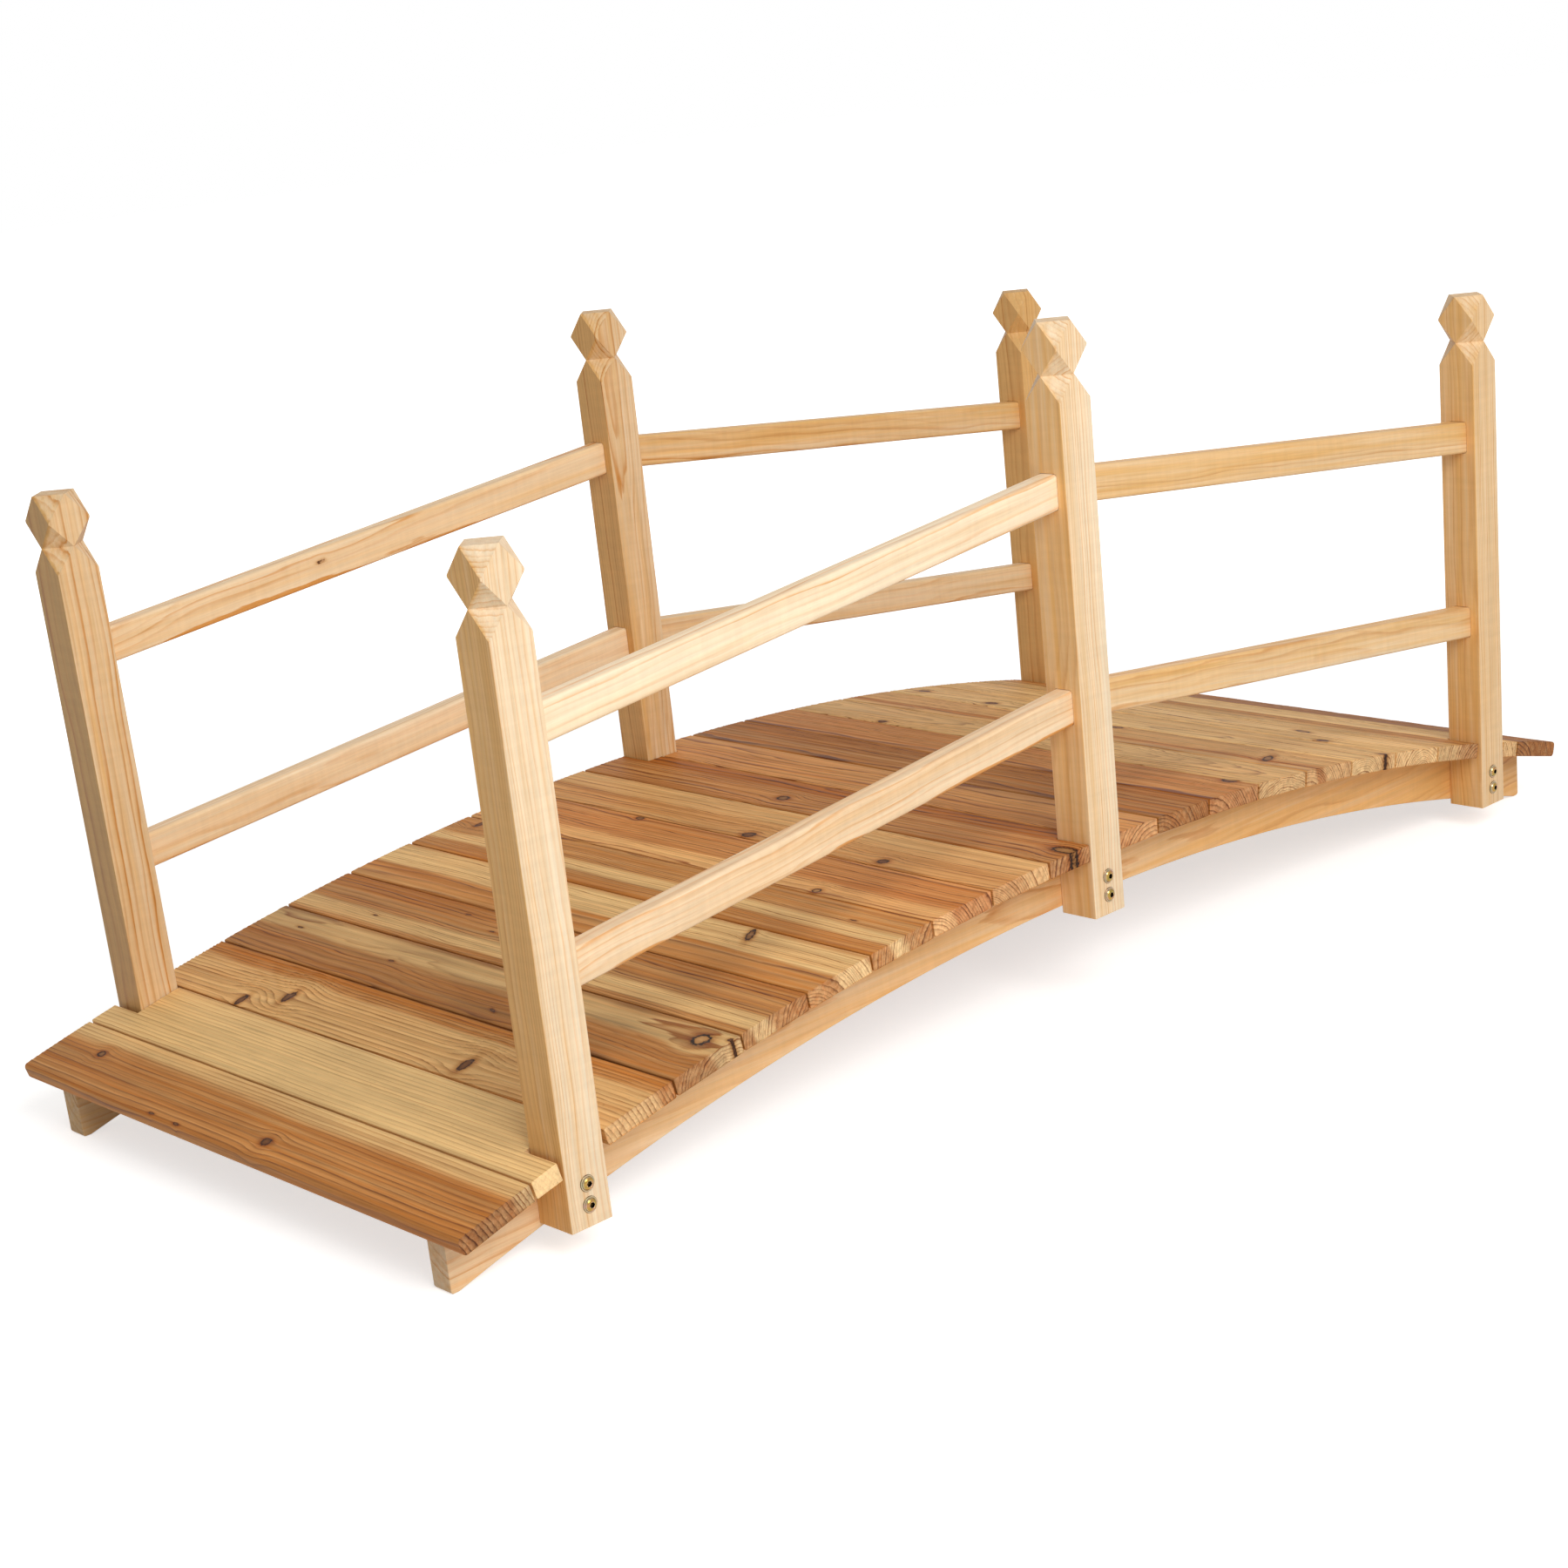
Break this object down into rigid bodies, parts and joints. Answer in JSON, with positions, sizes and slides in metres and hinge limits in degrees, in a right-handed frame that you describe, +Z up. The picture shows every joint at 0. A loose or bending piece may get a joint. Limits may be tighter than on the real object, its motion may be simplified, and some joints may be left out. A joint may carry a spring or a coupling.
{
  "type": "garden bridge",
  "caption": "Arched softwood garden footbridge: sawn stringers, a deck of cross planks, posts with faceted finials and sloping rails along both sides.",
  "frame": {"origin": "middle of the bridge in plan, on the plane under the stringers' feet", "axes": "+X along the walk, +Y across it, +Z up"},
  "size_m": [1.477, 0.652, 0.6175],
  "materials": {
    "pale_pine": "planed, oiled",
    "deck_heartwood": "brushed, oiled",
    "deck_sapwood": "brushed, oiled",
    "yellow_zinc": "yellow zinc plated"
  },
  "bodies": {
    "root": {"stringer_near": "pale_pine", "stringer_far": "pale_pine", "plank_01": "deck_heartwood", "plank_02": "deck_sapwood", "plank_03": "deck_heartwood", "plank_04": "deck_heartwood", "plank_05": "deck_heartwood", "plank_06": "deck_heartwood", "plank_07": "deck_heartwood", "plank_08": "deck_heartwood", "plank_09": "deck_heartwood", "plank_10": "deck_heartwood", "plank_11": "deck_heartwood", "plank_12": "deck_heartwood", "plank_13": "deck_heartwood", "plank_14": "deck_sapwood", "plank_15": "deck_heartwood", "plank_16": "deck_sapwood", "plank_17": "deck_sapwood", "plank_18": "deck_heartwood", "plank_19": "deck_sapwood", "plank_20": "deck_heartwood", "post_near_left": "pale_pine", "post_near_middle": "pale_pine", "post_near_right": "pale_pine", "post_far_left": "pale_pine", "post_far_middle": "pale_pine", "post_far_right": "pale_pine", "rail_near_left_lower": "pale_pine", "rail_near_left_upper": "pale_pine", "rail_near_right_lower": "pale_pine", "rail_near_right_upper": "pale_pine", "rail_far_left_lower": "pale_pine", "rail_far_left_upper": "pale_pine", "rail_far_right_lower": "pale_pine", "rail_far_right_upper": "pale_pine", "bolts_near": "yellow_zinc", "bolts_far": "yellow_zinc", "nuts_near": "yellow_zinc", "nuts_far": "yellow_zinc"}
  },
  "joints": []
}
